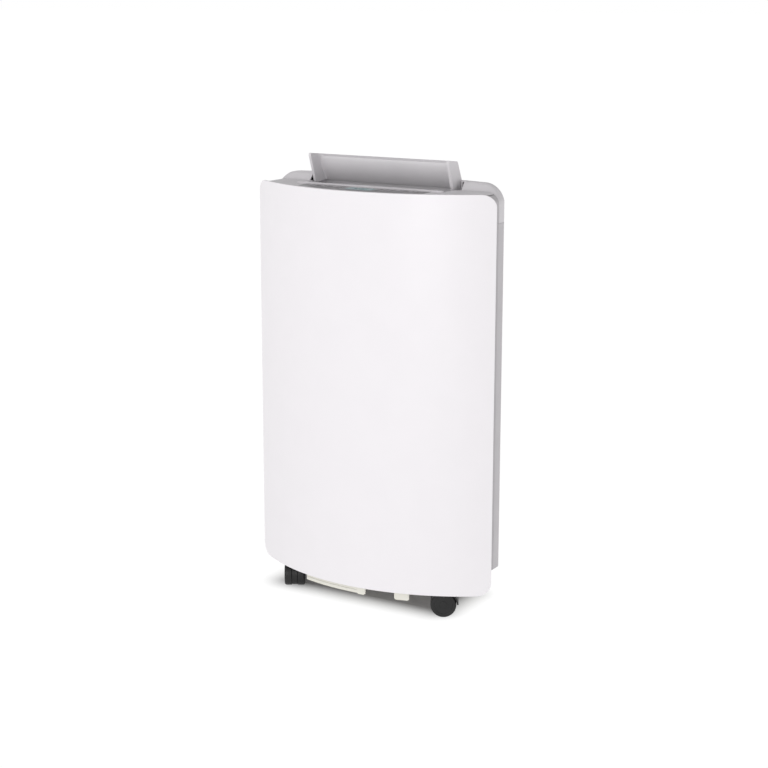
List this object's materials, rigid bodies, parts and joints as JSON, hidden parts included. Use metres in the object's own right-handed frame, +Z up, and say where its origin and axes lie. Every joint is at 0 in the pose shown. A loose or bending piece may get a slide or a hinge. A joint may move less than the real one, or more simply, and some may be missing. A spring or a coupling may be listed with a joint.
{
  "type": "dehumidifier",
  "caption": "Upright home dehumidifier on casters: bowed white front panel, grey tapered casing, air flap open on top, controls behind the panel's top edge, tank and filter door at the rear.",
  "frame": {"origin": "on the floor, below the middle of the overall box", "axes": "+Z up, -Y out of the bowed front panel, +X to the right as seen from the front"},
  "size_m": [0.44, 0.24, 0.731],
  "materials": {
    "panel_white": "smooth satin white",
    "casing_grey": "fine matt texture",
    "chassis_grey": "matt",
    "tray_cream": "matt",
    "fascia_dark": "satin",
    "display_glass": "polished window",
    "board_green": "lacquered board",
    "key_grey": "satin",
    "float_white": "plain moulded",
    "grille_dark": "matt",
    "filter_dark": "woven mesh on a frame",
    "coil_aluminium": "thin folded fins",
    "steel": "plated",
    "compressor_black": "black enamel",
    "copper": "drawn copper tube",
    "tank_clear": "smoky translucent",
    "caster_black": "satin black",
    "rubber_black": "moulded rubber"
  },
  "bodies": {
    "cabinet": {"front_panel": "panel_white", "front_chassis": "chassis_grey", "rear_casing": "casing_grey", "top_cover": "casing_grey", "base_tray": "tray_cream", "control_fascia": "fascia_dark", "display_window": "display_glass", "control_board": "board_green", "flap_motor": "float_white", "outlet_grille": "grille_dark", "evaporator_coil": "coil_aluminium", "condenser_coil": "coil_aluminium", "drip_tray": "tray_cream", "fan_housing": "chassis_grey", "fan_motor": "steel", "compressor": "compressor_black", "compressor_foot_1": "rubber_black", "compressor_foot_2": "rubber_black", "compressor_foot_3": "rubber_black", "accumulator": "compressor_black", "suction_pipe": "copper", "discharge_pipe": "copper", "run_capacitor": "coil_aluminium", "float_switch": "caster_black", "drain_spout": "grille_dark", "cord_gland": "rubber_black", "casing_screw_1": "steel", "casing_screw_2": "steel", "casing_screw_3": "steel", "casing_screw_4": "steel"},
    "flap": {"outlet_flap": "casing_grey"},
    "fan": {"fan_wheel": "float_white", "fan_shaft": "steel"},
    "filter_door": {"inlet_grille": "casing_grey", "air_filter": "filter_dark"},
    "tank": {"water_tank": "tank_clear"},
    "float": {"tank_float": "float_white"},
    "plug": {"drain_plug": "rubber_black"},
    "key_power": {"button_power": "key_grey"},
    "key_mode": {"button_mode": "key_grey"},
    "key_fan_speed": {"button_fan_speed": "key_grey"},
    "key_timer": {"button_timer": "key_grey"},
    "key_down": {"button_down": "key_grey"},
    "key_up": {"button_up": "key_grey"},
    "swivel_front_left": {"caster_front_left_yoke": "caster_black", "caster_front_left_axle": "steel"},
    "wheel_front_left_a": {"caster_front_left_wheel_a": "caster_black"},
    "wheel_front_left_b": {"caster_front_left_wheel_b": "caster_black"},
    "swivel_front_right": {"caster_front_right_yoke": "caster_black", "caster_front_right_axle": "steel"},
    "wheel_front_right_a": {"caster_front_right_wheel_a": "caster_black"},
    "wheel_front_right_b": {"caster_front_right_wheel_b": "caster_black"},
    "swivel_rear_left": {"caster_rear_left_yoke": "caster_black", "caster_rear_left_axle": "steel"},
    "wheel_rear_left_a": {"caster_rear_left_wheel_a": "caster_black"},
    "wheel_rear_left_b": {"caster_rear_left_wheel_b": "caster_black"},
    "swivel_rear_right": {"caster_rear_right_yoke": "caster_black", "caster_rear_right_axle": "steel"},
    "wheel_rear_right_a": {"caster_rear_right_wheel_a": "caster_black"},
    "wheel_rear_right_b": {"caster_rear_right_wheel_b": "caster_black"}
  },
  "joints": [
    {"name": "flap_hinge", "type": "hinge", "parent": "cabinet", "child": "flap", "pos_m": [0, 0.0135, 0.69], "axis": [1, 0, 0], "range_deg": [0, 63]},
    {"name": "power_press", "type": "slide", "parent": "cabinet", "child": "key_power", "axis": [0, 0, -1], "range_m": [0, 0.0012], "stiffness_N_per_m": 500, "springref_m": -0.0006},
    {"name": "mode_press", "type": "slide", "parent": "cabinet", "child": "key_mode", "axis": [0, 0, -1], "range_m": [0, 0.0012], "stiffness_N_per_m": 500, "springref_m": -0.0006},
    {"name": "fan_speed_press", "type": "slide", "parent": "cabinet", "child": "key_fan_speed", "axis": [0, 0, -1], "range_m": [0, 0.0012], "stiffness_N_per_m": 500, "springref_m": -0.0006},
    {"name": "timer_press", "type": "slide", "parent": "cabinet", "child": "key_timer", "axis": [0, 0, -1], "range_m": [0, 0.0012], "stiffness_N_per_m": 500, "springref_m": -0.0006},
    {"name": "down_press", "type": "slide", "parent": "cabinet", "child": "key_down", "axis": [0, 0, -1], "range_m": [0, 0.0012], "stiffness_N_per_m": 500, "springref_m": -0.0006},
    {"name": "up_press", "type": "slide", "parent": "cabinet", "child": "key_up", "axis": [0, 0, -1], "range_m": [0, 0.0012], "stiffness_N_per_m": 500, "springref_m": -0.0006},
    {"name": "fan_spin", "type": "hinge", "parent": "cabinet", "child": "fan", "pos_m": [0, 0, 0.44], "axis": [0, 1, 0], "continuous": true},
    {"name": "filter_door_hinge", "type": "hinge", "parent": "cabinet", "child": "filter_door", "pos_m": [0, 0.1175, 0.327], "axis": [-1, 0, 0], "range_deg": [0, 80]},
    {"name": "tank_slide", "type": "slide", "parent": "cabinet", "child": "tank", "axis": [0, 1, 0], "range_m": [0, 0.17]},
    {"name": "float_rise", "type": "slide", "parent": "tank", "child": "float", "axis": [0, 0, 1], "range_m": [0, 0.03]},
    {"name": "plug_pull", "type": "slide", "parent": "cabinet", "child": "plug", "axis": [0, 1, 0], "range_m": [0, 0.018]},
    {"name": "front_left_swivel", "type": "hinge", "parent": "cabinet", "child": "swivel_front_left", "pos_m": [-0.151, -0.052, 0.055], "axis": [0, 0, 1], "continuous": true},
    {"name": "front_left_spin_a", "type": "hinge", "parent": "swivel_front_left", "child": "wheel_front_left_a", "pos_m": [-0.14533, -0.06143, 0.021], "axis": [-0.8572, -0.515, 0], "continuous": true},
    {"name": "front_left_spin_b", "type": "hinge", "parent": "swivel_front_left", "child": "wheel_front_left_b", "pos_m": [-0.14533, -0.06143, 0.021], "axis": [-0.8572, -0.515, 0], "continuous": true},
    {"name": "front_right_swivel", "type": "hinge", "parent": "cabinet", "child": "swivel_front_right", "pos_m": [0.151, -0.052, 0.055], "axis": [0, 0, 1], "continuous": true},
    {"name": "front_right_spin_a", "type": "hinge", "parent": "swivel_front_right", "child": "wheel_front_right_a", "pos_m": [0.14129, -0.05716, 0.021], "axis": [-0.4695, 0.8829, 0], "continuous": true},
    {"name": "front_right_spin_b", "type": "hinge", "parent": "swivel_front_right", "child": "wheel_front_right_b", "pos_m": [0.14129, -0.05716, 0.021], "axis": [-0.4695, 0.8829, 0], "continuous": true},
    {"name": "rear_left_swivel", "type": "hinge", "parent": "cabinet", "child": "swivel_rear_left", "pos_m": [-0.108, 0.072, 0.055], "axis": [0, 0, 1], "continuous": true},
    {"name": "rear_left_spin_a", "type": "hinge", "parent": "swivel_rear_left", "child": "wheel_rear_left_a", "pos_m": [-0.11265, 0.08197, 0.021], "axis": [0.9063, 0.4226, 0], "continuous": true},
    {"name": "rear_left_spin_b", "type": "hinge", "parent": "swivel_rear_left", "child": "wheel_rear_left_b", "pos_m": [-0.11265, 0.08197, 0.021], "axis": [0.9063, 0.4226, 0], "continuous": true},
    {"name": "rear_right_swivel", "type": "hinge", "parent": "cabinet", "child": "swivel_rear_right", "pos_m": [0.108, 0.072, 0.055], "axis": [0, 0, 1], "continuous": true},
    {"name": "rear_right_spin_a", "type": "hinge", "parent": "swivel_rear_right", "child": "wheel_rear_right_a", "pos_m": [0.11507, 0.08043, 0.021], "axis": [0.766, -0.6428, 0], "continuous": true},
    {"name": "rear_right_spin_b", "type": "hinge", "parent": "swivel_rear_right", "child": "wheel_rear_right_b", "pos_m": [0.11507, 0.08043, 0.021], "axis": [0.766, -0.6428, 0], "continuous": true}
  ]
}
